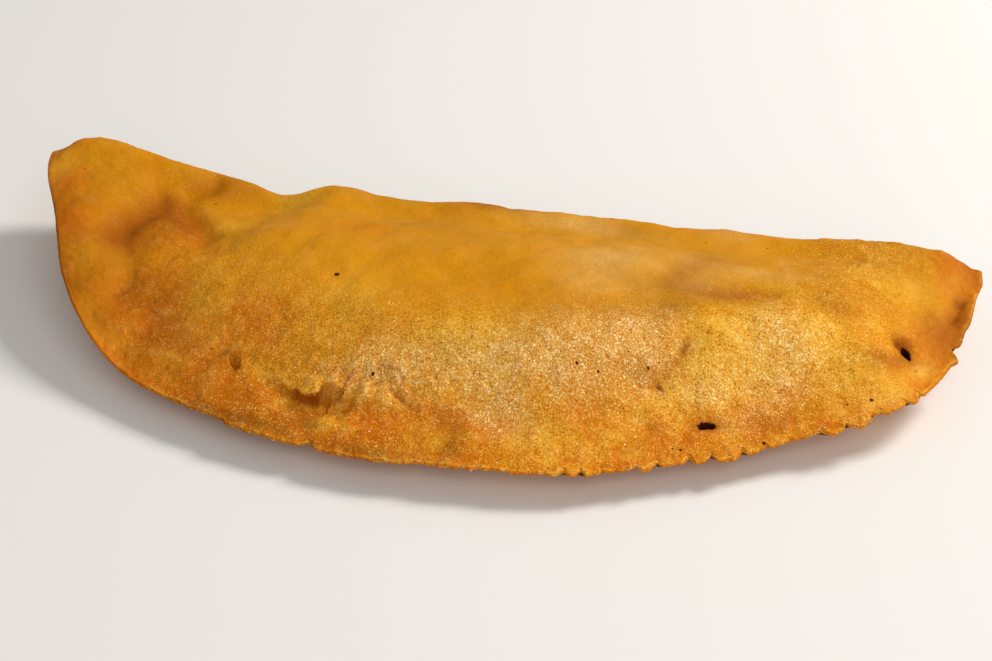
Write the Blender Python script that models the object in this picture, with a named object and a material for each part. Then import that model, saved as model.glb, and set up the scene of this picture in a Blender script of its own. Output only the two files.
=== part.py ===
"""Bean empanada: a fried half-moon turnover of corn dough, modelled as one solid.

A round of dough is folded in half over its filling and pressed shut along the round edge. Frying has
curled one tip up, torn the crust over the seal and left two small vents. X runs along the fold, -Y points
at the sealed edge and +Z is up. The origin is under the middle of the bounding box, on the surface that
the empanada lies on.
"""

import math

import bmesh
import bpy
from mathutils import Vector, noise

# Sizes are in millimetres and bearings in degrees, seen from the fold's middle: 0 at the right tip, 90 at
# the front of the seal and 180 at the left tip. The finished mesh is scaled to metres.
TO_METRES = 0.001

# Plan
DISC_RADIUS = 88.5  # of the round of dough before it was folded
TAKE_UP = 12.0  # how far the filling draws the middle of the seal in
LEFT_CORNER = 151.0  # bearings where the seal turns into each blunt end
RIGHT_CORNER = 23.0
LEFT_TIP = 178.0
RIGHT_TIP = 0.5
SWELL_WIDTH = 11.0
SWELLS = (  # bearings where the hand-pressed edge bulges out or in
    (0, 0.97),
    (14, 0.5),
    (28, 4.2),
    (42, -0.4),
    (56, -1.9),
    (70, 1.4),
    (84, -0.4),
    (98, 0.5),
    (112, -1.9),
    (126, -1.8),
    (140, -2.3),
    (152, -3.3),
    (164, -4.3),
    (177, 0.9),
)

# Section
SEAM_LEVEL = 5.0  # height of the middle of the pressed rim
EDGE_HALF = 0.3  # half the thickness of the dough at its outer edge
RIM_HALF = 1.6  # and of the pressed rim
RIM_ROUND = 6.0  # how far in from the edge the rim has its full thickness
FOLD_HALF = 3.8  # half the thickness beside the fold, which is not pressed
RIM_FOOT = 2.5  # from the outer edge to the foot of the filling
FLAP_FOOT = 8.0  # further in at the left end, and most at the left tip, which holds no filling
TIP_FOOT = 12.0
BELLY_RISE = 11.5  # of the filling above the rim
BELLY_RUN = 25.0  # from the foot of the filling to its full height
LEFT_RUN = 16.0  # how much longer that slope is at the left end
FOLD_SHARE = 0.33  # of the belly's rise that is reached at the fold
FOLD_RUN = 34.0  # from the fold to the full height
FOLD_ROUND = 6.5  # radius of the rounded fold, measured in plan
UNDER_SAG = 1.6  # how far the underside would hang below the table if it did not lie flat on it
LEFT_LIFT = 10.3  # of the curled left tip
RIGHT_LIFT = 2.4  # of the right tip
EDGE_BULGE = 0.3  # of the torn edge between its upper and lower skin
TOOTH_PITCH = 4.8  # along the torn part of the edge
TOOTH_DEPTH = 1.6

# Relief of the upper skin: x, y, half length, half width, turn in degrees from X, height
MOUNDS = (
    (-58.0, -22.5, 7.0, 5.0, 70, 1.5),  # knob of filling at the left end
    (-67.0, -34.0, 8.0, 4.0, -75, 0.6),
    (-31.0, -4.0, 7.0, 8.0, 0, 2.4),  # hump on the fold
    (-43.0, -2.0, 6.0, 6.0, 0, -1.0),
    (-6.0, -35.0, 24.0, 10.0, 3, -0.8),  # the crust has sunk over the middle
    (-36.0, -44.0, 15.0, 7.0, -35, 0.6),
    (26.0, -47.0, 13.0, 6.5, 12, 1.1),
    (60.0, -40.0, 17.0, 6.5, 20, 1.8),  # swollen shoulder at the right
    (76.0, -12.0, 10.0, 6.0, 60, 0.7),
    (75.2, -33.4, 2.6, 2.2, 0, -0.7),  # hollows that the vents lie in
    (46.5, -59.2, 4.0, 1.6, 14, -0.5),
    (-18.6, -63.2, 2.8, 1.5, 30, 1.0),  # flake over the torn place
    (-13.6, -61.4, 3.0, 1.1, 28, 0.9),
    (-11.0, -64.8, 2.6, 2.0, 0, 1.0),  # crumb lumps beside it
    (-7.4, -65.4, 2.4, 1.6, -15, 0.6),
    (-3.5, -63.0, 2.6, 1.6, 20, 0.4),
    (-15.8, -69.4, 3.0, 2.0, 0, 0.5),
)

# Creases: depth, half width, step up on the path's left, and the points that they run through
CREASES = (
    (2.1, 3.2, 0.4, ((-60.5, -9.8), (-62.5, -11.5), (-64.3, -15.5), (-65.4, -20.0), (-67.4, -28.0))),
    (2.1, 3.2, 0.2, ((-62.8, -10.4), (-59.2, -12.0), (-55.4, -16.2), (-51.8, -21.0), (-48.0, -28.0))),
    (1.2, 1.8, -0.3, ((-60.5, -8.0), (-55.5, -4.0), (-54.0, 0.5))),
    (1.1, 2.4, 0, ((-68, -24), (-63.2, -31), (-60.3, -36.5), (-61.5, -41), (-66, -45))),
    (1.0, 4.2, 0, ((33, -19), (37, -28), (42, -32.5), (49, -32.5), (57, -33.5))),  # behind the shoulder
    (1.2, 2.2, 0, ((44.5, -43.5), (41, -48), (37.5, -52.5), (32, -58))),
    (1.2, 1.6, 0, ((-20, -66.5), (-19, -70), (-18, -80))),  # fold across the rim
    (0.7, 1.3, 0, ((24, -65.5), (29, -62), (36, -61.5), (40, -65))),
    (2.0, 1.5, 0.3, ((89.0, -8.0), (86.8, -12.0), (85.2, -18.0), (84.6, -23.0))),  # along the right end
)
STEP_RUN = 8.0  # over which a step beside a crease fades out

# Tear: the belly's crust ends in this ragged lip and drops to the rim in front of it
LIP = (
    (-27.8, -61.0),
    (-24.5, -62.6),
    (-21.6, -64.0),
    (-19.8, -64.7),
    (-18.4, -64.9),
    (-17.6, -64.2),
    (-17.2, -63.5),
    (-16.0, -63.0),
    (-14.6, -63.1),
    (-13.8, -64.0),
    (-13.4, -65.0),
    (-10.1, -66.6),
    (-7.4, -66.8),
)
TEAR_DEPTH = 1.5
TEAR_WALL = 0.4  # over which the crust drops
TEAR_RUN_OUT = (3.0, 6.5)  # how far in front of the lip the floor meets the rim

# Vents: x, y, half length, half width, turn, depth
VENTS = (
    (46.5, -59.2, 1.25, 0.5, 14, 3.0),
    (77.4, -34.4, 1.4, 0.5, 112, 2.6),
    (-34.4, -58.0, 1.7, 0.8, -56, 1.0),
)

# Mesh
COLUMNS, ROWS, LAYERS = 46, 20, 2
REFINED_CELLS = (3.0, 1.5, 0.8)  # the size at which a face is split, for each pass


def smoothstep(low, high, value):
    share = min(max((value - low) / (high - low), 0.0), 1.0)
    return share * share * (3.0 - 2.0 * share)


def bell(value):
    return math.exp(-value * value)


def mix(first, second, share):
    return first + (second - first) * share


def polar(x, y):
    """Distance and bearing from the middle of the fold."""
    return math.hypot(x, y), math.degrees(math.atan2(max(-y, 1e-6), x))


def seal_radius(bearing):
    """The round edge: a circle that the filling draws in at the front, and hand pressing leaves uneven."""
    radius = DISC_RADIUS - TAKE_UP * abs(math.sin(math.radians(bearing))) ** 3.2
    return radius + sum(swell * bell((bearing - middle) / SWELL_WIDTH) for middle, swell in SWELLS)


def seal_point(bearing):
    radius = seal_radius(bearing)
    turn = math.radians(-bearing)
    return Vector((radius * math.cos(turn), radius * math.sin(turn)))


def fold_line(x):
    """The folded edge is nearly straight, turns in at the left tip and flares a little at the right one."""
    line = 2.6 + 1.2 * bell((x + 4.0) / 9.0) - 0.3 * bell((x - 50.0) / 16.0)
    line += 0.5 * bell((x + 74.0) / 6.0) + 0.8 * bell((x + 50.0) / 6.0)
    line += 0.4 * smoothstep(-50.0, -66.0, x) - 3.6 * smoothstep(-80.0, -89.5, x) ** 2
    return line + 0.8 * smoothstep(62.0, 76.0, x) - 2.6 * smoothstep(82.0, 89.0, x) ** 2


def torn_edge(bearing, x):
    """How far the torn edge stands out. It is smooth at the left and has little tabs at the front right."""
    along = math.radians(bearing) * DISC_RADIUS
    toothed = smoothstep(14.0, 32.0, x) * smoothstep(86.0, 72.0, x)
    phase = along / TOOTH_PITCH + 0.9 * noise.noise(Vector((along / 9.0, 0.0, 3.0)))
    height = 0.75 + 1.1 * noise.noise(Vector((math.floor(phase) * 3.7, 2.5, 0.5)))
    tab = TOOTH_DEPTH * (height * smoothstep(0.0, 0.7, phase % 1.0) - 0.55)
    lumps = 0.3 * smoothstep(88.0, 78.0, x) * noise.noise(Vector((along / 1.5, 5.0, 0.0)))
    lumps += 0.5 * noise.noise(Vector((along / 7.0, 1.0, 0.0)))
    overlap = 0.9 * smoothstep(-32.5, -31.7, x) * smoothstep(-17.0, -30.0, x)  # of the torn rim
    notches = 1.2 * bell((along - 28.2) / 1.1) + 1.3 * bell((along - 158.8) / 1.0)
    corner = 0.9 * bell((along - 31.6) / 1.3)
    lumps *= mix(0.25, 1.0, smoothstep(-50.0, -10.0, x))
    return toothed * tab + lumps + overlap + corner - notches


def plan_point(a, b):
    """Carries the unit square onto the half-moon: a runs from left to right, b from the seal to the fold."""
    front = seal_point(mix(LEFT_CORNER, RIGHT_CORNER, a))
    left = seal_point(mix(LEFT_CORNER, LEFT_TIP, b))
    right = seal_point(mix(RIGHT_CORNER, RIGHT_TIP, b))
    left_tip, right_tip = seal_point(LEFT_TIP), seal_point(RIGHT_TIP)
    x = mix(left_tip.x, right_tip.x, a)
    back = Vector((x, fold_line(x)))
    corners = mix(mix(seal_point(LEFT_CORNER), seal_point(RIGHT_CORNER), a), mix(left_tip, right_tip, a), b)
    return mix(front, back, b) + mix(left, right, a) - corners


def seam_level(x, y):
    left = LEFT_LIFT * smoothstep(36.0, 80.0, 0.2 * y - x)
    return SEAM_LEVEL + left + RIGHT_LIFT * smoothstep(52.0, 86.0, x) + 0.3 * math.sin(x / 11.0)


def along_path(x, y, points):
    """Distance from a path, signed positive on the fold's side, and the share of its length there."""
    lengths = [math.dist(start, end) for start, end in zip(points, points[1:])]
    best, run = (math.inf,), 0.0
    for start, end, length in zip(points, points[1:], lengths):
        along = ((x - start[0]) * (end[0] - start[0]) + (y - start[1]) * (end[1] - start[1])) / length
        across = ((end[0] - start[0]) * (y - start[1]) - (end[1] - start[1]) * (x - start[0])) / length
        held = min(max(along, 0.0), length)
        distance = math.hypot(across, along - held)
        share = (run + held) / sum(lengths)
        best = min(best, (round(distance, 6), -abs(across), math.copysign(distance, across), share))
        run += length
    return best[2], best[3]


def in_spot(x, y, spot):
    """How near a point is to the middle of an oval spot: 1 there, falling to 0 outside it."""
    turn = math.radians(spot[4])
    along = (x - spot[0]) * math.cos(turn) + (y - spot[1]) * math.sin(turn)
    across = (y - spot[1]) * math.cos(turn) - (x - spot[0]) * math.sin(turn)
    return bell(math.hypot(along / spot[2], across / spot[3]))


def relief(x, y):
    """Mounds, creases and slow unevenness of the upper skin."""
    height = sum(mound[5] * in_spot(x, y, mound) for mound in MOUNDS)
    for depth, half_width, step, points in CREASES:
        across, share = along_path(x, y, points)
        ends = smoothstep(-0.02, 0.2, share) * smoothstep(1.02, 0.7, share)
        height -= depth * bell(across / half_width) * ends
        beside = smoothstep(-half_width, half_width, across) * bell(max(across, 0.0) / STEP_RUN)
        height += step * beside * ends
    slow = noise.noise(Vector((x / 13.0, y / 10.0, 2.0)))
    quick = noise.noise(Vector((x / 4.5, y / 4.0, 7.0)))
    return height + 0.9 * slow + 0.35 * quick


def filled(to_seal, to_fold, bearing):
    """Share of the belly's full rise at a place, from its distances to the seal and to the fold."""
    foot = RIM_FOOT + FLAP_FOOT * smoothstep(142.0, 160.0, bearing)
    foot += TIP_FOOT * smoothstep(160.0, 174.0, bearing)
    run = BELLY_RUN + LEFT_RUN * smoothstep(95.0, 140.0, bearing)
    return smoothstep(foot, foot + run, to_seal) * mix(FOLD_SHARE, 1.0, smoothstep(0.0, FOLD_RUN, to_fold))


def skin_levels(x, y):
    """Heights of the lower and upper skin over a point of the plan."""
    reach, bearing = polar(x, y)
    to_seal = max(seal_radius(bearing) - reach, 0.0)
    to_fold = max(fold_line(x) - y, 0.0)
    seam = seam_level(x, y)
    half = mix(EDGE_HALF, RIM_HALF, smoothstep(0.0, RIM_ROUND, to_seal))
    fold_half = FOLD_HALF + 0.2 * smoothstep(-45.0, -65.0, x)
    half = mix(half, fold_half, smoothstep(12.0, 2.0, to_fold) * smoothstep(0.0, 8.0, to_seal))
    upper = seam + half + BELLY_RISE * filled(to_seal, to_fold, bearing)
    upper += relief(x, y) * smoothstep(0.0, 5.0, to_seal)
    lower = seam - half - (SEAM_LEVEL + UNDER_SAG) * smoothstep(4.0, 24.0, to_seal)
    fold_level = 0.5 * (max(lower, 0.0) + upper)
    inset = 0.6
    turned = 1.0 - min((to_fold + inset) / (FOLD_ROUND + inset), 1.0)
    rounding = math.sqrt(1.0 - turned * turned)
    upper = mix(fold_level, upper, rounding)
    lower = mix(fold_level, max(lower, 0.0), rounding)
    return max(lower, 0.0), upper


def torn(x, y):
    """How far the tear and the vents cut into the upper skin."""
    depth = sum(vent[5] * smoothstep(0.25, 0.6, in_spot(x, y, vent)) for vent in VENTS)
    across, share = along_path(x + 0.4 * noise.noise(Vector((x / 1.3, y / 1.3, 3.0))), y, LIP)
    ends = smoothstep(0.0, 0.4, share) * smoothstep(0.9, 0.72, share)
    ends *= mix(1.0, 0.6, smoothstep(0.5, 0.6, share))  # shallower at the right of the flake
    reach, bearing = polar(x, y)
    above_rim = BELLY_RISE * filled(seal_radius(bearing) - reach, fold_line(x) - y, bearing) + 0.5
    near, far = TEAR_RUN_OUT
    drop = smoothstep(0.0, TEAR_WALL, -across) * smoothstep(far, near, -across)
    return depth + min(above_rim, TEAR_DEPTH) * ends * drop


def wanted_cell(a, b):
    """The size of face that the relief needs at a place on the upper skin."""
    x, y = plan_point(a, b)
    reach, bearing = polar(x, y)
    to_seal = seal_radius(bearing) - reach
    across, _ = along_path(x, y, LIP)
    from_vents = min(math.dist((x, y), vent[:2]) for vent in VENTS)
    if from_vents < 2.0 or abs(across) < 0.9:
        return 0.5
    if to_seal < 1.0 and x > 14.0 or from_vents < 3.4 or abs(across) < 2.2:
        return 1.0
    if to_seal < 8.0 or y > fold_line(x) - 3.0:
        return 2.0
    return 4.0


def dough_block():
    """A block of cells: X and Y are the plan's a and b, Z is -1 at the lower skin and 1 at the upper."""
    block = bmesh.new()
    bmesh.ops.create_cube(block, size=2.0)
    for axis, cells in enumerate((COLUMNS, ROWS, LAYERS)):
        edges = [edge for edge in block.edges if abs(edge.verts[0].co[axis] - edge.verts[1].co[axis]) > 0.5]
        bmesh.ops.subdivide_edges(block, edges=edges, cuts=cells - 1, use_grid_fill=True)
    for vertex in block.verts:
        a = 0.5 + 0.5 * vertex.co.x
        b = 0.5 - 0.5 * math.cos(math.pi * (0.5 + 0.5 * vertex.co.y))
        vertex.co = (a, mix(0.5 + 0.5 * vertex.co.y, b, 0.6), vertex.co.z)
    return block


def split_where_needed(block):
    """Splits the faces of the upper skin that are larger than their relief allows."""
    for cell in REFINED_CELLS:
        edges = set()
        for face in block.faces:
            middle = face.calc_center_median()
            on_top = middle.z > 0.99
            beside = middle.z > -0.99 and middle.y < 0.5
            if (on_top or beside) and wanted_cell(middle.x, middle.y) < cell:
                edges.update(face.edges)
        bmesh.ops.subdivide_edges(block, edges=list(edges), cuts=1, use_grid_fill=True)


def dough_point(a, b, c):
    """Where a point of the block lies on the empanada."""
    plan = plan_point(a, b)
    x, y = plan
    reach, bearing = polar(x, y)
    to_seal = max(seal_radius(bearing) - reach, 0.0)
    lower, upper = skin_levels(x, y)
    outward = Vector((x / reach, y / reach, 0.0)) if reach > 1.0 else Vector((0.0, 0.0, 0.0))
    if b > 0.999:
        outward = Vector((0.0, 1.0, 0.0))
    point = Vector((x, y, mix(lower, upper, 0.5 + 0.5 * c)))
    point += outward * EDGE_BULGE * (1.0 - c * c)
    if b < 0.999:
        point += outward * torn_edge(bearing, x) * bell(to_seal / 1.0)
    if c > 0.999:
        point.z -= torn(x, y)
    return point


def shape(block):
    for vertex in block.verts:
        vertex.co = dough_point(*vertex.co)


def settle_on_origin(block):
    """Stands the solid on z = 0, with the middle of its bounding box over the origin."""
    low = Vector([min(vertex.co[axis] for vertex in block.verts) for axis in range(3)])
    high = Vector([max(vertex.co[axis] for vertex in block.verts) for axis in range(3)])
    middle = (low + high) / 2.0
    bmesh.ops.translate(block, verts=block.verts, vec=(-middle.x, -middle.y, -low.z))
    bmesh.ops.scale(block, verts=block.verts, vec=(TO_METRES, TO_METRES, TO_METRES))


def fried_crust():
    material = bpy.data.materials.new("fried_crust")
    material.use_nodes = True
    shader = material.node_tree.nodes["Principled BSDF"]
    shader.inputs["Base Color"].default_value = (0.60, 0.26, 0.035, 1.0)
    shader.inputs["Roughness"].default_value = 0.55
    shader.inputs["Metallic"].default_value = 0.0
    return material


def clear_scene():
    for leftover in list(bpy.data.objects):
        bpy.data.objects.remove(leftover)


def make_empanada():
    block = dough_block()
    split_where_needed(block)
    shape(block)
    settle_on_origin(block)
    bmesh.ops.recalc_face_normals(block, faces=block.faces)
    mesh = bpy.data.meshes.new("bean_empanada")
    block.to_mesh(mesh)
    block.free()
    mesh.shade_smooth()
    mesh.materials.append(fried_crust())
    collection = bpy.data.collections.new("empanada")
    bpy.context.scene.collection.children.link(collection)
    collection.objects.link(bpy.data.objects.new("bean_empanada", mesh))


clear_scene()
make_empanada()
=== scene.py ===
import math

import bmesh
import bpy
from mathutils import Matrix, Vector, noise


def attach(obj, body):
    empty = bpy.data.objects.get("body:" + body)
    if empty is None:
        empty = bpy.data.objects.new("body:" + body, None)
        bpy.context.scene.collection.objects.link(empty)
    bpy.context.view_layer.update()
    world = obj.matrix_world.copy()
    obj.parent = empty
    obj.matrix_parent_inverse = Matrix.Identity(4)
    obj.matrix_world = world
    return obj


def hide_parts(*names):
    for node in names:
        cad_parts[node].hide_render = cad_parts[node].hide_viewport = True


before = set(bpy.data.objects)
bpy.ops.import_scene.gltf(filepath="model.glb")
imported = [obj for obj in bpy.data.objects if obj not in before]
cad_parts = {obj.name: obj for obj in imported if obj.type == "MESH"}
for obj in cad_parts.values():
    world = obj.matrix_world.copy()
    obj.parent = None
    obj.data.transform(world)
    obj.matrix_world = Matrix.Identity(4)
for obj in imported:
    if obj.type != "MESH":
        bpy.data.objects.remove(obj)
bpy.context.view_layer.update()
print("frame loaded")

toMetres = 0.001

# The same half-moon as the solid, with the crust's relief on it, made in millimetres. Bearings are degrees
# round the fold's middle: 0 at the right tip, 90 at the front of the seal, 180 at the left tip.
dough = {
    "discRadius": 88.5,
    "takeUp": 12.0,  # the filling draws the seal in
    "takeUpPower": 3.2,  # the higher, the more of that is at the front
    "swellWidth": 11.0,
    "swells": (  # bearings where the hand-pressed edge bulges out or in
        (0, 0.97),
        (14, 0.5),
        (28, 4.2),
        (42, -0.4),
        (56, -1.9),
        (70, 1.4),
        (84, -0.4),
        (98, 0.5),
        (112, -1.9),
        (126, -1.8),
        (140, -2.3),
        (152, -3.3),
        (164, -4.3),
        (177, 0.9),
    ),
    "leftCorner": 151.0,
    "rightCorner": 23.0,
    "leftTip": 178.0,
    "rightTip": 0.5,
    "foldBack": 2.6,  # how far back the fold lies
    "foldBumps": (  # x, half width, how far out
        (-4.0, 9.0, 1.2),
        (50.0, 16.0, -0.3),
        (-74.0, 6.0, 0.5),
        (-50.0, 6.0, 0.8),
    ),
    "foldSteps": ((-50.0, -66.0, 0.4), (62.0, 76.0, 0.8)),  # from x, to x, how far out
    "foldEnds": ((-80.0, -89.5, 3.6), (82.0, 89.0, 2.6)),  # from x, to x, how far it turns in
    "seamLevel": 5.0,
    "seamWave": 0.3,
    "seamWaveLength": 11.0,
    "edgeHalf": 0.3,  # half thicknesses: torn edge, pressed rim, beside the fold
    "rimHalf": 1.6,
    "rimRound": 6.0,  # how far in from the edge the rim has its full thickness
    "foldHalf": 3.8,
    "foldHalfOver": (12.0, 2.0),  # from the fold, over which its thickness is reached
    "rimFoot": 2.5,  # where the belly starts to rise, from the torn edge
    "flapFoot": 8.0,  # further in at the left end, and most at the left tip, which holds no filling
    "flapBearings": (142.0, 160.0),
    "tipFoot": 12.0,
    "tipBearings": (160.0, 174.0),
    "bellyRise": 11.5,
    "bellyRun": 25.0,
    "leftRun": 16.0,  # how much longer the slope is at the left end
    "leftBearings": (95.0, 140.0),
    "foldShare": 0.33,  # of the belly's rise reached at the fold
    "foldRun": 34.0,
    "foldRound": 6.5,
    "foldInset": 0.6,  # keeps the fold's round from closing to an edge
    "reliefOver": (0.0, 5.0),  # from the seal, over which mounds and creases come in
    "underSag": 1.6,
    "underSagOver": (4.0, 24.0),
    "leftLift": 10.3,
    "leftLiftOver": (36.0, 80.0),
    "leftLiftSlant": 0.2,
    "rightLift": 2.4,
    "rightLiftOver": (52.0, 86.0),
    "edgeBulge": 0.3,
}

tornRim = {  # places along the edge are millimetres round the disc from the right tip
    "toothPitch": 4.8,
    "toothDepth": 1.6,
    "toothedFrom": (14.0, 32.0),  # x where the tabs come in, and where they end
    "toothedTo": (86.0, 72.0),
    "pitchWander": 0.9,
    "notches": ((28.2, 1.1, 1.2), (31.6, 1.3, -0.9), (158.8, 1.0, 1.3)),  # along, half width, depth
    "overlap": 0.9,  # the left stretch lies over the torn one
    "overlapFrom": (-32.5, -31.7),
    "overlapTo": (-17.0, -30.0),
}

cells = {  # the block of dough, and the size of face that each place wants
    "columns": 112,
    "rows": 52,
    "layers": 4,
    "splitBelow": (1.2, 0.6, 0.3),  # one pass each, for places that want less than this
    "fine": 0.25,  # round the vents, on the tear and along the tabs
    "middling": 0.5,
    "coarse": 0.9,  # high on the belly and at the left tip
    "ventReach": 2.6,
    "tabReach": 1.6,
    "tabsFrom": 14.0,
    "middlingReach": 23.0,
    "coarseLeftOf": -60.0,
}
atLimit = 0.999  # a block coordinate over this is at the fold, or on the upper skin

# x, y, half length, half width, turn, height
mounds = (
    (-58.0, -22.5, 7.0, 5.0, 70, 1.5),  # knob at the left end
    (-67.0, -34.0, 8.0, 4.0, -75, 0.6),  # the flap's lower lobe
    (-31.0, -4.0, 7.0, 8.0, 0, 2.4),  # hump on the fold
    (-43.0, -2.0, 6.0, 6.0, 0, -1.0),
    (-6.0, -35.0, 24.0, 10.0, 3, -0.8),  # sunk middle
    (-36.0, -44.0, 15.0, 7.0, -35, 0.6),
    (26.0, -47.0, 13.0, 6.5, 12, 1.1),
    (60.0, -40.0, 17.0, 6.5, 20, 1.8),  # right shoulder
    (76.0, -12.0, 10.0, 6.0, 60, 0.7),
    (75.2, -33.4, 2.6, 2.2, 0, -0.7),  # crater beside the right vent
    (46.5, -59.2, 4.0, 1.6, 14, -0.5),
    (-18.6, -63.2, 2.8, 1.5, 30, 1.0),  # flake over the torn place
    (-13.6, -61.4, 3.0, 1.1, 28, 0.9),
    (-11.0, -64.8, 2.6, 2.0, 0, 1.0),  # crumb lumps beside it
    (-7.4, -65.4, 2.4, 1.6, -15, 0.6),
    (-3.5, -63.0, 2.6, 1.6, 20, 0.4),
    (-15.8, -69.4, 3.0, 2.0, 0, 0.5),  # golden bump in front of it
)

# depth, half width, step up on the path's left, points
creases = (
    (2.1, 3.2, 0.4, ((-60.5, -9.8), (-62.5, -11.5), (-64.3, -15.5), (-65.4, -20.0), (-67.4, -28.0))),
    (2.1, 3.2, 0.2, ((-62.8, -10.4), (-59.2, -12.0), (-55.4, -16.2), (-51.8, -21.0), (-48.0, -28.0))),
    (1.2, 1.8, -0.3, ((-60.5, -8.0), (-55.5, -4.0), (-54.0, 0.5))),
    (1.1, 2.4, 0, ((-68, -24), (-63.2, -31), (-60.3, -36.5), (-61.5, -41), (-66, -45))),  # foot of the lobe
    (1.0, 4.2, 0, ((33, -19), (37, -28), (42, -32.5), (49, -32.5), (57, -33.5))),  # dip behind the shoulder
    (1.2, 2.2, 0, ((44.5, -43.5), (41, -48), (37.5, -52.5), (32, -58))),
    (1.2, 1.6, 0, ((-20, -66.5), (-19, -70), (-18, -80))),
    (0.7, 1.3, 0, ((24, -65.5), (29, -62), (36, -61.5), (40, -65))),
    (2.0, 1.5, 0.3, ((89.0, -8.0), (86.8, -12.0), (85.2, -18.0), (84.6, -23.0))),  # groove, right end
)
stepRun = 8.0  # over which a step beside a crease fades out

# fine ragged cracks: depth, half width, points
cracks = (
    (0.4, 0.5, ((-8.8, -60.2), (-5.0, -61.2), (-3.6, -63.0), (-2.0, -63.6))),
    (0.4, 0.5, ((-5.5, -64.0), (-2.6, -66.0), (0.6, -67.4))),
    (0.3, 0.4, ((1.2, -61.2), (3.2, -63.6))),
    (0.5, 0.4, ((-14.2, -63.4), (-13.4, -62.2), (-12.0, -61.0), (-10.6, -60.6))),
    (0.5, 0.3, ((-41.5, -56.6), (-39.2, -57.7), (-39.4, -59.0))),
    (0.6, 0.3, ((37.4, -54.2), (38.8, -55.6))),
)

tear = {  # the belly's crust ends in a ragged lip here, and drops to the rim in front of it
    "lip": (
        (-27.8, -61.0),
        (-24.5, -62.6),
        (-21.6, -64.0),
        (-19.8, -64.7),
        (-18.4, -64.9),
        (-17.6, -64.2),
        (-17.2, -63.5),
        (-16.0, -63.0),
        (-14.6, -63.1),
        (-13.8, -64.0),
        (-13.4, -65.0),
        (-10.1, -66.6),
        (-7.4, -66.8),
    ),
    "foot": (  # front of the tear's floor, which is painted in shadow
        (-28.5, -61.0),
        (-24.0, -63.3),
        (-21.0, -65.0),
        (-13.0, -65.7),
        (-8.0, -67.4),
    ),
    "depth": 1.5,
    "wall": 0.4,
    "runOut": (3.0, 6.5),  # how far in front of the lip the floor meets the rim
    "ragged": 0.5,
    "lean": 0.35,  # how far the lip stands out over the floor
    "flake": (-17.5, -62.8, 7.0, 4.0, 10),  # x, y, half length, half width, turn
    "crumbs": (-11.0, -63.6, 11.0, 3.6, 0),
    "left": -30.0,  # the place that all of it lies in
    "right": 4.0,
    "back": -58.5,
    "front": -69.0,  # its fine faces reach to here
}

crumbs = {  # noise size, seed, height
    "blister": (2.6, 11.0, 0.35),
    "grit": (1.3, 17.0, 0.16),
    "fine": (0.75, 23.0, 0.09),
    "broken": (2.2, 27.0, 0.65),  # beside the tear
    "brokenFine": (0.9, 29.0, 0.18),
    "edge": (0.8, 31.0, 0.4),
    "coarseOver": (34.0, 12.0),  # from the seal, over which they grow to full height
}

# x, y, half length, half width, turn, depth
vents = (
    (46.5, -59.2, 1.25, 0.5, 14, 3.0),
    (77.4, -34.4, 1.4, 0.5, 112, 2.6),
    (-34.4, -58.0, 1.7, 0.8, -56, 1.0),
)
outlineReach, outlineSize = 0.35, 0.9  # how far small outlines are ragged, and the size of the noise


def smoothstep(low, high, value):
    share = min(max((value - low) / (high - low), 0.0), 1.0)
    return share * share * (3.0 - 2.0 * share)


def bell(value):
    return math.exp(-value * value)


def mix(first, second, share):
    return first + (second - first) * share


def grain(x, y, size, seed):
    return noise.noise(Vector((x / size, y / size, seed)))


def polar(x, y):
    return math.hypot(x, y), math.degrees(math.atan2(max(-y, 1e-6), x))


def sealRadius(bearing):
    drawnIn = dough["takeUp"] * abs(math.sin(math.radians(bearing))) ** dough["takeUpPower"]
    width = dough["swellWidth"]
    swelling = sum(swell * bell((bearing - middle) / width) for middle, swell in dough["swells"])
    return dough["discRadius"] - drawnIn + swelling


def sealPoint(bearing):
    turn = math.radians(-bearing)
    return Vector((math.cos(turn), math.sin(turn))) * sealRadius(bearing)


def foldLine(x):
    bumps = sum(out * bell((x - middle) / halfWidth) for middle, halfWidth, out in dough["foldBumps"])
    steps = sum(out * smoothstep(near, far, x) for near, far, out in dough["foldSteps"])
    ends = sum(turnedIn * smoothstep(near, far, x) ** 2 for near, far, turnedIn in dough["foldEnds"])
    return dough["foldBack"] + bumps + steps - ends


def seamLevel(x, y):
    left = dough["leftLift"] * smoothstep(*dough["leftLiftOver"], dough["leftLiftSlant"] * y - x)
    right = dough["rightLift"] * smoothstep(*dough["rightLiftOver"], x)
    return dough["seamLevel"] + left + right + dough["seamWave"] * math.sin(x / dough["seamWaveLength"])


def waver(along, size, row, layer=0.0):  # noise along the edge
    return noise.noise(Vector((along / size, row, layer)))


def tornEdge(bearing, x):  # smooth at the left, little tabs at the front right
    along = math.radians(bearing) * dough["discRadius"]
    toothed = smoothstep(*tornRim["toothedFrom"], x) * smoothstep(*tornRim["toothedTo"], x)
    phase = along / tornRim["toothPitch"] + tornRim["pitchWander"] * waver(along, 9.0, 0.0, 3.0)
    height = 0.75 + 1.1 * noise.noise(Vector((math.floor(phase) * 3.7, 2.5, 0.5)))  # one draw a tab
    tab = tornRim["toothDepth"] * (height * smoothstep(0.0, 0.7, phase % 1.0) - 0.55)
    tab += 0.5 * waver(along, 1.1, 7.0)
    lumps = 0.3 * smoothstep(88.0, 78.0, x) * waver(along, 1.5, 5.0) + 0.5 * waver(along, 7.0, 1.0)
    lumps *= mix(0.25, 1.0, smoothstep(-50.0, -10.0, x))
    overlap = tornRim["overlap"] * smoothstep(*tornRim["overlapFrom"], x)
    overlap *= smoothstep(*tornRim["overlapTo"], x)
    notches = sum(depth * bell((along - middle) / half) for middle, half, depth in tornRim["notches"])
    return toothed * tab + lumps + overlap - notches


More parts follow.
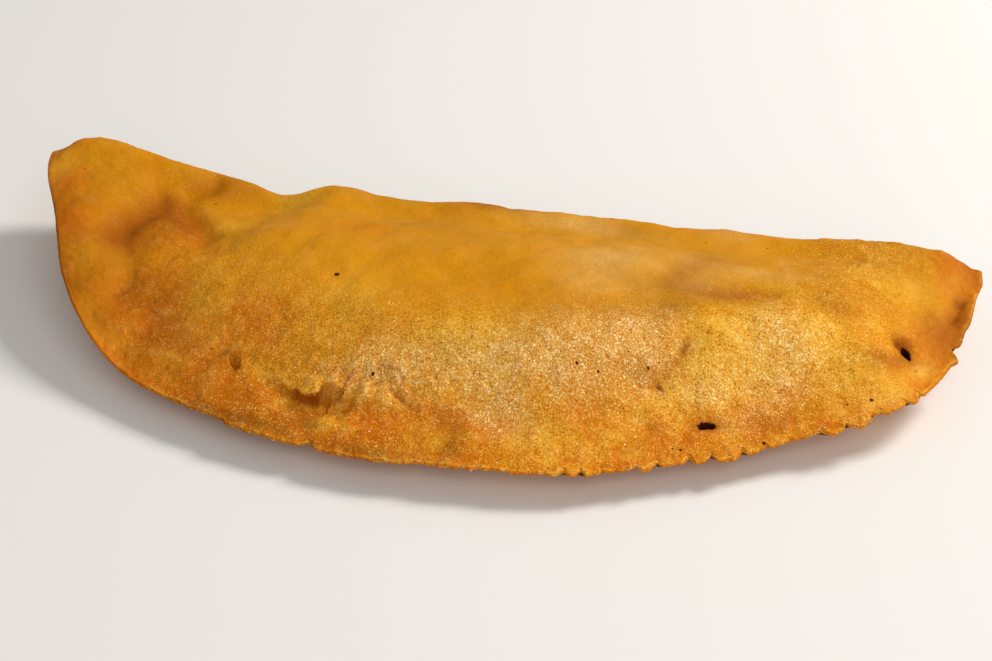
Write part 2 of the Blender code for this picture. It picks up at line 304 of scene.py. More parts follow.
def planPoint(a, b):  # unit square to half-moon: a from left end to right, b from seal to fold
    front = sealPoint(mix(dough["leftCorner"], dough["rightCorner"], a))
    left = sealPoint(mix(dough["leftCorner"], dough["leftTip"], b))
    right = sealPoint(mix(dough["rightCorner"], dough["rightTip"], b))
    leftTip, rightTip = sealPoint(dough["leftTip"]), sealPoint(dough["rightTip"])
    x = mix(leftTip.x, rightTip.x, a)
    back = Vector((x, foldLine(x)))
    near = mix(sealPoint(dough["leftCorner"]), sealPoint(dough["rightCorner"]), a)
    return mix(front, back, b) + mix(left, right, a) - mix(near, mix(leftTip, rightTip, a), b)


def alongPath(x, y, points):  # signed distance, positive on the fold's side, and share of the path's length
    lengths = [math.dist(start, end) for start, end in zip(points, points[1:])]
    best, run = (math.inf,), 0.0
    for start, end, length in zip(points, points[1:], lengths):
        along = ((x - start[0]) * (end[0] - start[0]) + (y - start[1]) * (end[1] - start[1])) / length
        across = ((end[0] - start[0]) * (y - start[1]) - (end[1] - start[1]) * (x - start[0])) / length
        held = min(max(along, 0.0), length)
        distance = math.hypot(across, along - held)
        share = (run + held) / sum(lengths)
        best = min(best, (round(distance, 6), -abs(across), math.copysign(distance, across), share))
        run += length
    return best[2], best[3]


def inSpot(x, y, spot):
    turn = math.radians(spot[4])
    along = (x - spot[0]) * math.cos(turn) + (y - spot[1]) * math.sin(turn)
    across = (y - spot[1]) * math.cos(turn) - (x - spot[0]) * math.sin(turn)
    return bell(math.hypot(along / spot[2], across / spot[3]))


def pathEnds(share):  # 1 along a path, fading out at its ends
    return smoothstep(-0.02, 0.2, share) * smoothstep(1.02, 0.7, share)


def cleft(x, y, halfWidth, points):  # 1 in the middle of a crease or crack, 0 away from it
    across, share = alongPath(x, y, points)
    return bell(across / halfWidth) * pathEnds(share)


def relief(x, y):
    height = sum(mound[5] * inSpot(x, y, mound) for mound in mounds)
    for depth, halfWidth, step, points in creases:
        height -= depth * cleft(x, y, halfWidth, points)
        if step:
            across, share = alongPath(x, y, points)
            beside = smoothstep(-halfWidth, halfWidth, across) * bell(max(across, 0.0) / stepRun)
            height += step * beside * pathEnds(share)
    slow = noise.noise(Vector((x / 13.0, y / 10.0, 2.0)))
    quick = noise.noise(Vector((x / 4.5, y / 4.0, 7.0)))
    return height + 0.9 * slow + 0.35 * quick


def filled(toSeal, toFold, bearing):  # share of the belly's full rise
    foot = dough["rimFoot"] + dough["flapFoot"] * smoothstep(*dough["flapBearings"], bearing)
    foot += dough["tipFoot"] * smoothstep(*dough["tipBearings"], bearing)
    run = dough["bellyRun"] + dough["leftRun"] * smoothstep(*dough["leftBearings"], bearing)
    climb = smoothstep(foot, foot + run, toSeal)
    return climb * mix(dough["foldShare"], 1.0, smoothstep(0.0, dough["foldRun"], toFold))


def skinLevels(x, y):  # heights of the lower and the upper skin
    reach, bearing = polar(x, y)
    toSeal = max(sealRadius(bearing) - reach, 0.0)
    toFold = max(foldLine(x) - y, 0.0)
    seam = seamLevel(x, y)
    half = mix(dough["edgeHalf"], dough["rimHalf"], smoothstep(0.0, dough["rimRound"], toSeal))
    foldHalf = dough["foldHalf"] + 0.2 * smoothstep(-45.0, -65.0, x)
    half = mix(half, foldHalf, smoothstep(*dough["foldHalfOver"], toFold) * smoothstep(0.0, 8.0, toSeal))
    upper = seam + half + dough["bellyRise"] * filled(toSeal, toFold, bearing)
    upper += relief(x, y) * smoothstep(*dough["reliefOver"], toSeal)
    sag = (dough["seamLevel"] + dough["underSag"]) * smoothstep(*dough["underSagOver"], toSeal)
    lower = seam - half - sag
    foldLevel = 0.5 * (max(lower, 0.0) + upper)
    inset = dough["foldInset"]
    turned = 1.0 - min((toFold + inset) / (dough["foldRound"] + inset), 1.0)
    rounding = math.sqrt(1.0 - turned * turned)
    return max(mix(foldLevel, max(lower, 0.0), rounding), 0.0), mix(foldLevel, upper, rounding)


def lipShift(x, y, seed, fineSeed):
    return tear["ragged"] * (grain(x, y, 1.4, seed) + 0.3 * grain(x, y, 0.7, fineSeed))


def pastLip(x, y):  # distance in front of the tear's ragged lip, and how deep it is there, 0 to 1
    x += lipShift(x, y, 3.0, 5.0)
    y += lipShift(x, y, 8.0, 9.0)
    across, share = alongPath(x, y, tear["lip"])
    deep = smoothstep(0.0, 0.4, share) * mix(1.0, 0.6, smoothstep(0.5, 0.6, share))  # less right of the flake
    return -across, deep * smoothstep(0.9, 0.72, share)


def nearTear(x, y):
    return tear["left"] < x < tear["right"] and y < tear["back"]


def roughened(x, y):  # a nearby place, for ragged outlines
    roughX = x + outlineReach * grain(x, y, outlineSize, 12.0)
    return roughX, y + outlineReach * grain(x, y, outlineSize, 14.0)


def torn(x, y):  # how far the tear, the vents and the fine cracks cut into the crust
    rough = roughened(x, y)
    depth = sum(vent[5] * smoothstep(0.25, 0.6, inSpot(*rough, vent)) for vent in vents)
    broken = smoothstep(-0.15, 0.1, grain(x, y, 1.8, 33.0))
    depth += broken * sum(deep * cleft(*rough, halfWidth, points) for deep, halfWidth, points in cracks)
    if nearTear(x, y):
        reach, bearing = polar(x, y)
        crustStep = dough["bellyRise"] * filled(sealRadius(bearing) - reach, foldLine(x) - y, bearing) + 0.5
        past, share = pastLip(x, y)
        near, far = tear["runOut"]
        drop = min(crustStep, tear["depth"]) * share * smoothstep(0.0, tear["wall"], past)
        depth += drop * smoothstep(far, near, past)
    return depth


def lipLean(x, y):
    past, _ = pastLip(x, y)
    return tear["lean"] * bell(min(past, 0.0)) * smoothstep(0.3, 0.0, past) * inSpot(x, y, tear["flake"])


def crumbHeight(x, y, name):
    size, seed, height = crumbs[name]
    return grain(x, y, size, seed) * height


def crumb(x, y, toSeal):  # rough crust on the upper skin, coarser towards the seal and beside the tear
    lumps = max(crumbHeight(x, y, "blister"), 0.0) + crumbHeight(x, y, "grit") + crumbHeight(x, y, "fine")
    broken = inSpot(x, y, tear["crumbs"]) * (crumbHeight(x, y, "broken") + crumbHeight(x, y, "brokenFine"))
    return lumps * (0.55 + 0.45 * smoothstep(*crumbs["coarseOver"], toSeal)) + broken


def wantedCell(a, b):
    x, y = planPoint(a, b)
    reach, bearing = polar(x, y)
    toSeal = sealRadius(bearing) - reach
    byVent = min(math.dist((x, y), vent[:2]) for vent in vents) < cells["ventReach"]
    onTear = nearTear(x, y) and y > tear["front"]
    onTabs = toSeal < cells["tabReach"] and x > cells["tabsFrom"]
    if byVent or onTear or onTabs:
        return cells["fine"]
    crumbly = toSeal < cells["middlingReach"] and x > cells["coarseLeftOf"]
    return cells["middling"] if crumbly else cells["coarse"]


def doughBlock():  # x and y are the plan's a and b, z is -1 at the lower skin and 1 at the upper
    block = bmesh.new()
    bmesh.ops.create_cube(block, size=2.0)
    for axis, name in enumerate(("columns", "rows", "layers")):
        edges = [edge for edge in block.edges if abs(edge.verts[0].co[axis] - edge.verts[1].co[axis]) > 0.5]
        bmesh.ops.subdivide_edges(block, edges=edges, cuts=cells[name] - 1, use_grid_fill=True)
    for vertex in block.verts:
        b = 0.5 + 0.5 * vertex.co.y
        eased = 0.5 - 0.5 * math.cos(math.pi * b)
        vertex.co = (0.5 + 0.5 * vertex.co.x, mix(b, eased, 0.6), vertex.co.z)
    return block


def splitWhereNeeded(block):
    for cell in cells["splitBelow"]:
        edges = set()
        for face in block.faces:
            middle = face.calc_center_median()
            onTop = middle.z > 0.99
            beside = middle.z > -0.99 and middle.y < 0.5 and cell > cells["splitBelow"][-1]
            if (onTop or beside) and wantedCell(middle.x, middle.y) < cell:
                edges.update(face.edges)
        bmesh.ops.subdivide_edges(block, edges=list(edges), cuts=1, use_grid_fill=True)
        print("split to", cell, "mm:", len(block.faces), "faces")


def doughPoint(a, b, c):  # where a point of the block lies on the empanada
    x, y = planPoint(a, b)
    reach, bearing = polar(x, y)
    toSeal = max(sealRadius(bearing) - reach, 0.0)
    lower, upper = skinLevels(x, y)
    outward = Vector((x / reach, y / reach, 0.0)) if reach > 1.0 else Vector((0.0, 0.0, 0.0))
    if b > atLimit:
        outward = Vector((0.0, 1.0, 0.0))
    point = Vector((x, y, mix(lower, upper, 0.5 + 0.5 * c)))
    point += outward * dough["edgeBulge"] * (1.0 - c * c)
    if b < atLimit:
        edgeCrumbs = crumbHeight(math.radians(bearing) * reach, point.z, "edge") * smoothstep(-60.0, -20.0, x)
        edgeCrumbs *= mix(0.25, 1.0, smoothstep(84.0, 70.0, x))
        point += outward * (tornEdge(bearing, x) * bell(toSeal) + edgeCrumbs * bell(toSeal / 2.0))
    if c > atLimit:
        point.z += crumb(x, y, toSeal) - torn(x, y)
        if nearTear(x, y):
            point.y -= lipLean(x, y)
    return point


def spotted(x, y, name):
    return sum(spot[5] * inSpot(x, y, spot) for spot in frying[name])


def tornEdgeCrumbsAndHighlight(x, y, toSeal):  # pale crumbs and a painted highlight along the torn edge
    line = bell(toSeal / 0.4) * smoothstep(-45.0, -20.0, x) * (0.5 + grain(x, y, 1.5, 43.0))
    return line + 0.7 * bell(toSeal / 0.5) * bell((x + 42.0) / 8.0)


def tearShadowAndLipLight(x, y):  # painted shadow on the tear's floor under the lip, and a golden line on the lip, partly pale crust and partly painted highlight
    past, share = pastLip(x, y)
    behindFoot, _ = alongPath(x, y, tear["foot"])
    floorShade = share * mix(1.0, 0.6, smoothstep(-18.0, -17.0, x))  # paler right of the flake
    floorShade *= smoothstep(-0.1, 0.1, past) * smoothstep(-0.9, 0.3, behindFoot)
    return floorShade, 0.35 * share * bell((past + 0.6) / 0.6)


def finishShares(x, y, c):  # how much of each finish the crust has at a point
    reach, bearing = polar(x, y)
    toSeal = max(sealRadius(bearing) - reach, 0.0)
    rimShare = mix(0.5, 1.0, smoothstep(-68.0, -50.0, x))
    toasted = smoothstep(*frying["rimToasted"], toSeal) * (0.95 + 0.7 * grain(x, y, 9.0, 41.0)) * rimShare
    toasted += spotted(x, y, "toastedSpots")
    tanned, golden = spotted(x, y, "tannedAndShadeSpots"), spotted(x, y, "goldenSpots")
    dusty = spotted(x, y, "dustAndSheenSpots")
    raised = 0.5 + 1.3 * crumb(x, y, toSeal)
    dark, scorched = spotted(x, y, "darkCrustAndShadeSpots"), 0.0
    if c > atLimit:
        rough = roughened(x, y)
        # painted shade inside the vents' holes
        for vent, shade in zip(vents, frying["ventShade"]):
            dark += shade * smoothstep(0.06, 0.2, inSpot(*rough, vent))
        # painted shade in the fine cracks
        inCracks = sum(cleft(*rough, halfWidth, points) for _, halfWidth, points in cracks)
        scorched += frying["crackShade"] * inCracks
        scorched += spotted(*rough, "scorchedAndShadeSpots")
        # painted shade along the groove round the knob
        scorched += frying["bandShade"] * cleft(x, y, frying["bandHalf"], frying["band"])
        if nearTear(x, y):
            # painted shadow on the tear's floor, and a painted highlight, partly pale crust, on the lip
            floorShade, paleLipAndHighlight = tearShadowAndLipLight(x, y)
            scorched += floorShade
            golden += paleLipAndHighlight
        dusty += frying["scratchShade"] * cleft(x, y, frying["scratchHalf"], frying["scratch"])
        # pale crumbs and a painted highlight along the torn edge
        crumbsAndEdgeHighlight = tornEdgeCrumbsAndHighlight(x, y, toSeal)
        golden += crumbsAndEdgeHighlight
        dusty += 0.3 * crumbsAndEdgeHighlight
    else:
        # side and under faces: browner crust, partly painted shade
        tanned += 0.3 * bell(toSeal / 3.0)
        toasted += bell(toSeal / 3.0)
    coarse = smoothstep(39.0, 19.0, toSeal) * smoothstep(-74.0, -22.0, x) * smoothstep(86.0, 66.0, x)
    gritty = mix(0.15, 1.0, coarse)
    return toasted, tanned, dusty, golden, raised, dark, scorched, gritty


def paintCrust(mesh, places):  # one value a point for each finish, read by the material
    shares = [finishShares(*place) for place in places]
    for index, name in enumerate(frying["finishes"]):
        layer = mesh.attributes.new(name, "FLOAT", "POINT")
        layer.data.foreach_set("value", [min(max(share[index], 0.0), 1.0) for share in shares])


frying = {
    "finishes": ("toasted", "tanned", "dusty", "golden", "raised", "dark", "scorched", "gritty"),
    "rimToasted": (13.0, 2.0),  # from the seal, over which the rim is toasted
    # spots: x, y, half length, half width, turn, strength
    "toastedSpots": (
        # left tip
        (-82.0, -14.0, 5.0, 14.0, 20, 0.25),
        (-65.4, -20.6, 7.0, 3.2, 66, 0.3),  # beside the knob, partly painted shade in the groove round it
        (-57.4, -16.4, 7.0, 3.4, -42, 0.6),
        # along the fold
        (-1.0, 0.5, 9.0, 4.0, 0, 0.3),
        # belly
        (-56.0, -26.0, 10.0, 8.0, 0, 0.5),
        (-54.0, -42.0, 8.0, 6.0, -60, 0.6),
        (-48.0, -36.0, 5.0, 9.0, 0, 0.25),
        (-36.0, -46.0, 11.0, 8.0, -30, 0.55),
        (-35.0, -46.0, 7.0, 5.0, 0, 0.4),
        (-30.0, -54.0, 12.0, 8.0, -15, 0.35),
        (-24.0, -46.0, 10.0, 8.0, 0, 0.2),
        (-21.0, -20.0, 6.0, 4.0, 0, 0.3),
        (-11.0, -53.0, 10.0, 6.0, 0, 0.4),
        (38.5, -51.0, 7.0, 2.4, 55, 0.8),
        (47.0, -33.0, 9.0, 2.5, -5, 0.6),
        (67.0, -34.5, 4.0, 2.6, 0, 0.8),  # orange patch on the shoulder's end
        # towards the seal
        (-46.0, -56.0, 16.0, 7.0, -48, 0.6),
        (-30.0, -67.0, 13.0, 4.0, -15, 0.6),
        (-14.0, -63.5, 3.0, 3.0, 0, 0.9),
        (-9.0, -71.5, 14.0, 4.0, -5, 0.8),
        (-4.0, -73.0, 11.0, 4.0, -3, 0.8),
        (2.0, -72.0, 4.0, 3.0, 0, 0.3),
        (3.6, -67.8, 3.0, 2.5, 0, 0.6),
        (5.0, -69.0, 9.0, 4.0, 0, 0.5),
        (26.5, -66.0, 3.0, 6.0, 0, 0.6),
        (46.0, -61.0, 5.0, 3.0, 20, 0.55),  # round the front vent
        (54.8, -56.4, 4.0, 2.4, 30, 0.8),
        (57.5, -53.0, 6.0, 3.4, 25, 1.0),
        (60.0, -55.0, 12.0, 4.5, 36, 1.0),
        # right end
        (76.0, -37.0, 7.0, 4.0, 20, 0.6),
        (88.0, -12.0, 3.5, 14.0, 8, 0.35),
    ),
    # browner crust, partly painted shade where the crust faces away from the light or lies in a groove
    "tannedAndShadeSpots": (
        # left tip
        (-80.0, -22.0, 6.0, 3.0, -60, 0.4),
        (-74.0, -9.0, 12.0, 8.0, 0, 0.25),
        (-72.6, -38.0, 12.0, 1.8, -62, 1.0),  # the curled end's outer edge, darkened as painted shade
        (-66.0, -21.0, 8.5, 3.6, 66, 0.75),
        (-65.5, -27.5, 3.0, 4.0, 0, 0.4),
        (-62.0, -11.5, 3.0, 3.0, 0, 0.4),
        (-59.5, -36.0, 9.0, 3.2, -80, 0.4),
        (-58.4, -17.8, 7.0, 3.2, -44, 0.75),
        (-57.5, -25.0, 6.0, 5.0, 70, 0.5),
        # along the fold
        (-56.0, -5.0, 8.0, 5.0, 0, 0.3),
        (-54.0, -3.0, 3.0, 5.0, -20, 0.45),
        (-1.0, 0.5, 8.0, 3.2, 0, 0.4),
        # belly
        (-54.0, -42.0, 7.0, 6.0, 0, 0.5),
        (-33.0, -50.5, 4.0, 5.0, 0, 0.15),
        (36.0, -53.0, 5.0, 2.4, 50, 0.5),
        (38.0, -28.0, 3.0, 5.0, 0, 0.4),
        (41.0, -19.0, 5.0, 6.0, 0, 0.5),
        (46.0, -33.0, 8.0, 2.4, -3, 0.6),
        # towards the seal
        (-52.0, -52.0, 15.0, 9.0, -48, 0.25),
        (-50.5, -52.5, 3.5, 7.0, -20, 0.35),
        (-42.0, -61.0, 12.0, 6.0, -30, 0.4),
        (-37.4, -68.0, 6.0, 1.6, -28, 0.5),
        (-30.0, -69.5, 9.0, 1.5, -16, 0.6),
        (-30.0, -67.5, 12.0, 4.5, -17, 0.25),
        (-21.0, -69.5, 3.5, 2.0, -70, 0.6),
        (-7.0, -74.6, 7.0, 2.2, -3, 0.6),
        (4.6, -68.2, 2.0, 2.2, 0, 0.5),
        (26.5, -66.5, 2.6, 5.0, 0, 0.15),
        (39.0, -66.3, 8.0, 2.0, 18, 0.2),
        (39.0, -62.4, 2.4, 1.8, 0, 0.5),
        (44.5, -64.5, 6.0, 2.5, 22, 0.1),
        (48.6, -57.3, 2.2, 1.4, 0, 0.4),
        (54.8, -56.4, 4.0, 2.2, 30, 0.3),
        (57.0, -57.0, 11.0, 4.0, 36, 0.1),
        (57.5, -53.0, 5.0, 2.6, 25, 0.4),
        (69.5, -46.5, 4.0, 3.0, 0, 0.3),
        # right end
        (72.0, -9.0, 10.0, 5.0, 0, 0.25),
        (75.0, -37.5, 6.0, 2.2, 20, 0.7),
        (84.0, -26.0, 5.0, 8.0, 0, 0.35),
        (87.0, -17.0, 2.4, 10.0, 6, 0.5),
        (89.0, -4.0, 3.0, 5.0, 0, 0.5),
    ),
    # pale dusting on the crust, partly a painted sheen on slopes that face the light
    "dustAndSheenSpots": (
        # along the fold
        (-26.0, -3.0, 5.0, 3.0, 0, 0.15),
        (16.0, -5.0, 14.0, 3.0, -10, 0.65),  # pale streak on the fold's crest
        (17.5, -2.0, 5.0, 3.0, 0, 0.4),
        (44.0, -3.0, 5.0, 3.0, 0, 0.5),
        # belly
        (-46.0, -50.0, 6.0, 4.0, -40, 0.15),
        (-14.0, -61.5, 6.0, 2.2, 0, 0.5),
        (-11.3, -54.4, 6.0, 5.0, 0, 0.1),
        (-6.0, -60.8, 7.0, 4.6, 0, 0.7),
        (7.0, -59.0, 12.0, 5.0, 0, 0.7),
        (12.0, -58.4, 4.0, 3.6, 0, 0.7),
        (22.0, -58.6, 5.0, 3.0, 0, 0.3),
        (24.0, -60.0, 5.0, 3.0, 0, 0.3),
        (24.5, -36.0, 8.0, 5.0, -5, 0.45),
        (25.0, -25.0, 9.0, 7.0, 20, 0.9),
        (25.5, -53.5, 12.0, 6.5, 5, 0.95),
        (34.0, -49.6, 4.0, 3.0, 0, 0.8),
        (36.0, -46.0, 6.0, 4.5, 0, 0.5),
        (40.0, -20.0, 6.0, 5.0, 0, 0.3),
        (42.0, -31.0, 6.0, 4.0, 0, 0.4),
        (50.0, -25.0, 9.0, 3.0, 0, 0.5),
        (52.0, -49.0, 13.0, 6.0, 30, 0.4),
        (55.0, -40.0, 5.0, 4.0, 0, 0.45),
        (58.0, -44.0, 8.0, 5.0, 20, 0.3),
        (60.0, -44.0, 7.0, 4.0, 20, 0.25),
        # towards the seal
        (11.4, -64.6, 3.6, 2.4, 0, 0.4),
        (14.0, -67.0, 6.0, 3.5, 0, 0.7),
        (45.0, -53.2, 5.0, 2.4, 20, 0.3),
        (47.0, -54.0, 3.0, 2.4, 0, 0.3),
        (50.8, -58.8, 2.2, 1.5, 20, 0.5),  # pale blob on the rim
        (56.0, -50.4, 4.0, 2.2, 25, 0.4),
        (58.6, -54.9, 1.5, 1.0, 0, 0.25),
        # right end
        (74.0, -46.4, 5.0, 2.2, 40, 0.3),
        (80.2, -37.8, 2.2, 1.3, 60, 0.3),
    ),
    "goldenSpots": (
        # left tip
        (-84.0, -8.0, 3.0, 6.0, 0, 0.6),
        (-77.0, -9.0, 8.0, 7.0, 0, 0.1),
        (-69.0, -36.0, 6.0, 3.6, -70, 0.3),
        (-61.0, -51.0, 5.0, 2.6, -48, 0.35),
        # along the fold
        # painted light on the hump's left side, which its relief shades
        (-39.0, -2.4, 5.0, 5.0, 0, 0.6),
        (-37.0, -4.0, 4.0, 4.0, 0, 0.5),
        # belly
        (-47.5, -19.0, 4.0, 4.0, 0, 0.6),
        (-46.8, -37.6, 4.0, 7.0, 0, 0.3),
        (-44.0, -44.0, 4.0, 4.0, 0, 0.3),
        (-33.0, -43.0, 12.0, 8.0, -20, 0.35),
        (-23.0, -56.5, 4.0, 4.0, 0, 0.3),
        (-18.0, -46.0, 6.0, 10.0, 0, 0.35),
        (-14.0, -51.0, 5.0, 8.0, 0, 0.2),
        (-11.3, -54.4, 6.0, 6.0, 0, 0.25),
        (-6.4, -60.4, 5.0, 4.0, 0, 0.4),
        (2.0, -54.0, 5.0, 4.0, 0, 0.3),
        (8.0, -56.0, 10.0, 6.0, 0, 0.75),
        (12.5, -59.0, 4.0, 3.0, 0, 0.4),
        (20.0, -12.0, 45.0, 14.0, 0, 0.15),
        (37.0, -49.0, 6.0, 4.0, 0, 0.4),
        (44.5, -45.4, 4.0, 3.0, 0, 0.9),
        (46.5, -50.0, 8.0, 3.8, 40, 0.7),
        (55.1, -30.6, 4.0, 2.6, 0, 0.5),
        (58.0, -42.0, 15.0, 6.0, 22, 1.0),
        # towards the seal
        (-54.0, -55.0, 5.0, 2.5, -45, 0.3),
        (-46.5, -56.5, 4.0, 2.5, -40, 0.6),
        (-45.6, -61.6, 4.0, 2.0, -30, 0.4),
        (-28.5, -59.6, 4.0, 1.8, -20, 0.45),
        # painted light on the tear's left end, which lies in its shadow
        (-23.0, -65.7, 2.6, 1.3, -20, 0.75),
        (-18.0, -63.0, 4.0, 1.6, 10, 0.4),
        (-16.1, -69.2, 2.6, 1.8, 0, 0.7),
        (-14.5, -71.0, 3.0, 2.0, 0, 0.5),
        (-1.0, -71.0, 2.5, 3.0, 0, 0.35),
        (3.0, -72.4, 2.2, 2.0, 0, 0.35),
        (10.0, -72.0, 6.0, 3.0, 0, 0.3),
        (11.4, -65.6, 4.0, 2.0, 0, 0.4),
        (17.5, -70.6, 3.0, 2.6, 0, 0.6),
        (22.0, -69.0, 6.0, 3.0, 0, 0.5),
        (27.0, -73.6, 7.0, 1.2, 0, 0.5),
        (33.0, -67.0, 6.0, 2.6, 10, 0.4),
        (36.0, -61.0, 4.0, 3.0, 0, 0.4),
        (38.4, -56.2, 3.0, 2.0, 0, 0.5),
        (43.5, -60.0, 3.0, 2.0, 0, 0.45),
        (48.3, -62.6, 3.0, 1.6, 20, 0.5),
        (48.8, -53.9, 4.0, 3.0, 20, 0.4),
        (51.2, -59.0, 2.4, 1.6, 20, 0.45),
        (56.0, -59.6, 6.0, 1.2, 38, 0.4),
        (60.0, -57.2, 3.0, 1.0, 35, 0.4),
        (70.0, -44.0, 7.0, 4.0, 40, 0.6),
        # right end
        (72.2, -31.0, 3.0, 3.0, 0, 0.3),
        (74.0, -46.4, 5.0, 2.0, 40, 0.4),
        (76.0, -15.0, 9.0, 6.0, 0, 0.5),
        (76.5, -44.0, 4.0, 3.0, 40, 0.5),
        (80.0, -36.0, 5.0, 4.0, 0, 0.3),
        (80.2, -37.8, 2.4, 1.6, 60, 0.6),
        (82.0, -20.0, 4.0, 6.0, 0, 0.25),
        (85.0, -9.0, 3.0, 5.0, 0, 0.2),
        (86.0, -6.0, 2.0, 3.0, 0, 0.3),
    ),
    # brown marks, and painted shade in and round the vents and in the right end's groove
    "scorchedAndShadeSpots": (
        # belly
        (38.1, -54.9, 1.3, 0.3, -50, 0.9),  # short scratch
        (39.9, -50.2, 0.8, 0.6, 0, 0.5),
        (41.1, -47.9, 1.3, 0.8, 70, 0.8),
        # towards the seal
        (-36.6, -56.0, 1.3, 0.8, 0, 0.5),
        (-34.4, -58.0, 1.9, 0.9, -56, 0.45),
        (46.5, -59.2, 2.7, 1.1, 14, 0.8),
        # right end
        (75.9, -32.8, 1.6, 0.5, 130, 0.6),
        # painted shadow beside the right vent
        (77.0, -31.8, 1.7, 1.5, 0, 0.65),
        (77.4, -34.4, 2.2, 1.2, 112, 0.8),
        (85.6, -18.5, 1.4, 3.2, -10, 0.7),  # painted shade in the right end's groove
        (86.2, -12.4, 1.2, 2.2, -15, 0.8),
    ),
    # painted shade where the crust lies in shadow or faces away from the light, partly darker crust
    "darkCrustAndShadeSpots": (
        # left tip
        (-78.0, -26.0, 8.0, 4.0, -60, 0.12),
        (-76.0, -30.0, 5.0, 4.0, -60, 0.16),
        (-74.8, -19.7, 4.0, 3.4, 0, 0.2),
        (-72.0, -13.0, 6.0, 5.0, 0, 0.1),
        (-67.0, -38.0, 4.0, 7.0, -20, 0.12),
        (-66.8, -43.0, 4.0, 4.0, 0, 0.24),
        (-66.8, -28.0, 3.4, 5.0, 0, 0.06),
        (-64.2, -34.6, 3.0, 5.0, 0, 0.18),
        (-62.5, -50.0, 4.0, 3.0, -48, 0.2),
        (-59.0, -20.0, 4.0, 4.0, -45, 0.14),
        # along the fold
        (-55.0, -4.0, 10.0, 5.0, 0, 0.06),
        (-48.0, -1.0, 6.0, 4.0, 0, 0.2),
        (-24.0, -1.0, 10.0, 5.0, 0, 0.14),
        (-1.5, 2.5, 12.0, 5.0, 0, 0.1),
        (0.0, -0.5, 7.0, 3.0, 0, 0.12),
        (25.4, -4.4, 5.0, 3.0, 0, 0.14),
        (27.0, -8.0, 6.0, 4.0, 0, 0.1),
        (46.0, 0.0, 7.0, 3.0, 0, 0.12),
        # belly
        (-11.0, -14.0, 8.0, 5.0, 0, 0.14),
        (2.4, -57.5, 2.4, 3.0, 0, 0.18),
        (20.0, -48.0, 4.0, 2.6, 0, 0.1),
        (20.0, -12.0, 45.0, 14.0, 0, 0.06),
        (30.0, -44.8, 7.0, 3.0, -5, 0.13),
        (33.0, -33.0, 5.0, 5.0, 0, 0.12),
        (34.0, -54.6, 4.0, 2.2, 0, 0.2),
        (37.5, -33.5, 4.0, 7.0, 0, 0.18),
        (39.0, -42.0, 3.4, 3.0, 0, 0.26),
        (44.0, -35.0, 6.0, 4.0, 0, 0.12),
        (63.0, -33.0, 4.0, 3.0, 0, 0.12),
        (65.0, -27.0, 6.0, 8.0, 0, 0.12),
        (66.0, -33.0, 4.0, 3.0, 0, 0.12),
        # towards the seal
        (-55.0, -45.0, 5.0, 5.0, 0, 0.14),
        (-50.0, -51.0, 3.2, 9.0, -10, 0.18),
        (-32.6, -57.2, 2.6, 2.6, 0, 0.12),
        (-29.0, -70.1, 8.0, 1.1, -17, 0.3),
        (-20.0, -68.4, 1.5, 2.2, 0, 0.32),
        (-8.0, -75.2, 10.0, 1.4, -5, 0.25),
        (7.0, -73.8, 2.0, 1.4, 0, 0.2),
        (7.0, -71.5, 1.8, 4.0, 0, 0.24),
        (24.0, -66.0, 4.0, 3.0, 0, 0.08),
        (71.0, -41.0, 4.0, 2.4, 20, 0.15),
        # right end
        (76.0, -1.0, 8.0, 5.0, 0, 0.18),
        (77.0, -13.0, 7.0, 6.0, 0, 0.12),
        (84.0, -25.0, 4.0, 8.0, 0, 0.3),
        (88.0, 1.0, 4.0, 5.0, 0, 0.25),
    ),
    "seeds": (  # dark seeds baked into the crust: x, y, radius
        (24.4, -57.0, 0.34),
        (28.0, -57.1, 0.28),
        (35.7, -52.7, 0.26),
        (-9.1, -61.6, 0.36),
        (72.5, -47.3, 0.42),
        (43.0, -64.9, 0.34),
        (41.7, -65.0, 0.24),
        (56.0, -59.7, 0.34),
        (-21.1, -39.2, 0.6),
    ),
    "band": (  # painted shade in the groove, from one side of the knob over to the other
        (-68.0, -36.0),
        (-66.6, -27.0),
        (-65.6, -21.5),
        (-64.2, -16.0),
        (-62.8, -12.0),
        (-61.0, -10.6),
        (-58.8, -12.8),
        (-56.2, -16.3),
        (-53.2, -20.5),
        (-49.0, -28.0),
    ),
    "bandHalf": 3.0,
    "bandShade": 0.42,
    "scratch": ((53.0, -6.0), (55.6, -20.0), (57.5, -31.0)),
    "scratchHalf": 0.45,
    "scratchShade": 0.5,
    "crackShade": 0.35,
    "ventShade": (1.0, 1.0, 0.0),
    "base": (0.59, 0.235, 0.004, 1.0),
    "toasted": (0.58, 0.130, 0.002, 1.0),
    # browner crust, partly painted shade
    "tanned": (0.32, 0.088, 0.0015, 1.0),
    # pale dusting, partly painted sheen
    "dusty": (0.72, 0.412, 0.105, 1.0),
    "golden": (0.82, 0.43, 0.025, 1.0),
    "goldenGrain": (1.0, 0.68, 0.14, 1.0),
    "toastedGrain": (1.0, 0.58, 0.12, 1.0),
    "paleGrain": (1.0, 0.80, 0.46, 1.0),
    "deepGrain": (0.50, 0.12, 0.001, 1.0),
    # brown marks, and painted shade
    "scorched": (0.25, 0.05, 0.002, 1.0),
    # painted glint colour
    "paintedGlint": (1.0, 0.88, 0.60, 1.0),
    # near black, for painted shade and darker crust
    "dark": (0.03, 0.004, 0.001, 1.0),
    "speck": (0.05, 0.012, 0.003, 1.0),
}


